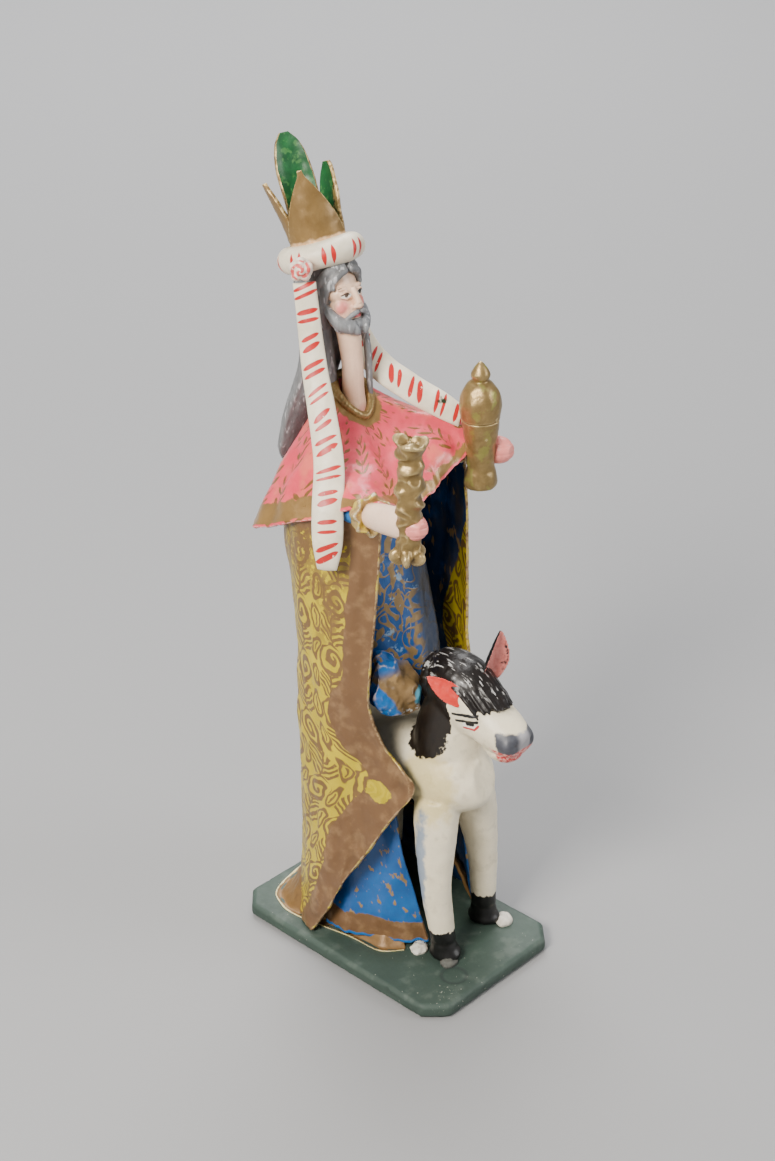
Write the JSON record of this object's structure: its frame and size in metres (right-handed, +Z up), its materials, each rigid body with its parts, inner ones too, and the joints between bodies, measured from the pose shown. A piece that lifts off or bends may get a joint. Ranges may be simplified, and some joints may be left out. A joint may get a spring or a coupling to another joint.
{
  "type": "crowned king on horse figure",
  "caption": "Painted folk figure of a crowned king in stiffened cloth robes, with a gift in each hand, astride a small cream horse on a green slab base.",
  "frame": {"origin": "centre of the flat underside of the slab, where the figure rests", "axes": "+Z up along the figure's height; the king and the horse face -Y; the figure's right hand is at -X"},
  "size_m": [0.1121, 0.1644, 0.3902],
  "materials": {
    "board_paint": "dark grey-green paint over wood, chipped at the edges",
    "plaster": "bare white plaster dabs",
    "horse_paint": "cream paint with black, red and grey brushwork over modelled paste",
    "forelock_paint": "black paint with scratched pale strands over modelled paste",
    "wire": "plain steel wire and nails",
    "bare_wood": "unpainted wood",
    "core_paper": "packed paper and paste, unpainted",
    "skin_paint": "pale flesh paint, satin",
    "hair_paint": "grey paint with light brushed strands, satin",
    "cloak_cloth": "glue-stiffened cloth, yellow paint with gold-brown floral brushwork, blue inside",
    "blue_cloth": "glue-stiffened cloth, bright blue paint with gold-brown brushwork",
    "tan_cloth": "glue-stiffened cloth, gold-brown bronze paint with a yellow edge",
    "pink_cloth": "glue-stiffened cloth, pink paint with gold-brown sprigs and hem",
    "scarf_cloth": "glue-stiffened cloth, cream paint with pairs of red bars",
    "gold_paint": "gold bronze paint over modelled paste, satin metallic",
    "crown_paint": "gold bronze paint outside, green paint inside, on stiff card"
  },
  "bodies": {
    "root": {"arm_left": "core_paper", "arm_right": "core_paper", "arm_wire_left": "wire", "arm_wire_right": "wire", "armature_post": "bare_wood", "base_board": "board_paint", "base_nails": "wire", "beard": "hair_paint", "cape": "pink_cloth", "cloak": "cloak_cloth", "collar": "gold_paint", "crown_band": "crown_paint", "crown_leaf_back_left": "crown_paint", "crown_leaf_back_right": "crown_paint", "crown_leaf_front_left": "crown_paint", "crown_leaf_front_right": "crown_paint", "floor_cloth": "tan_cloth", "gift_roll": "gold_paint", "hair": "hair_paint", "hand_left": "skin_paint", "hand_right": "skin_paint", "head_and_neck": "skin_paint", "horse_body": "horse_paint", "horse_ear_left": "horse_paint", "horse_ear_right": "horse_paint", "horse_foreleg_left": "horse_paint", "horse_foreleg_right": "horse_paint", "horse_forelock": "forelock_paint", "horse_head": "horse_paint", "horse_hind_leg_left": "horse_paint", "horse_hind_leg_right": "horse_paint", "horse_leg_wires": "wire", "horse_neck": "horse_paint", "neck_peg": "wire", "plaster_fillets": "plaster", "scarf_knot": "scarf_cloth", "scarf_ring": "scarf_cloth", "scarf_tail_left": "scarf_cloth", "scarf_tail_right": "scarf_cloth", "skirt_left": "blue_cloth", "skirt_right": "blue_cloth", "sleeve_left": "tan_cloth", "sleeve_right": "tan_cloth", "torso_core": "core_paper", "tunic": "blue_cloth", "tunic_hem_fold": "blue_cloth", "urn_cup": "gold_paint", "urn_lid": "gold_paint"}
  },
  "joints": []
}
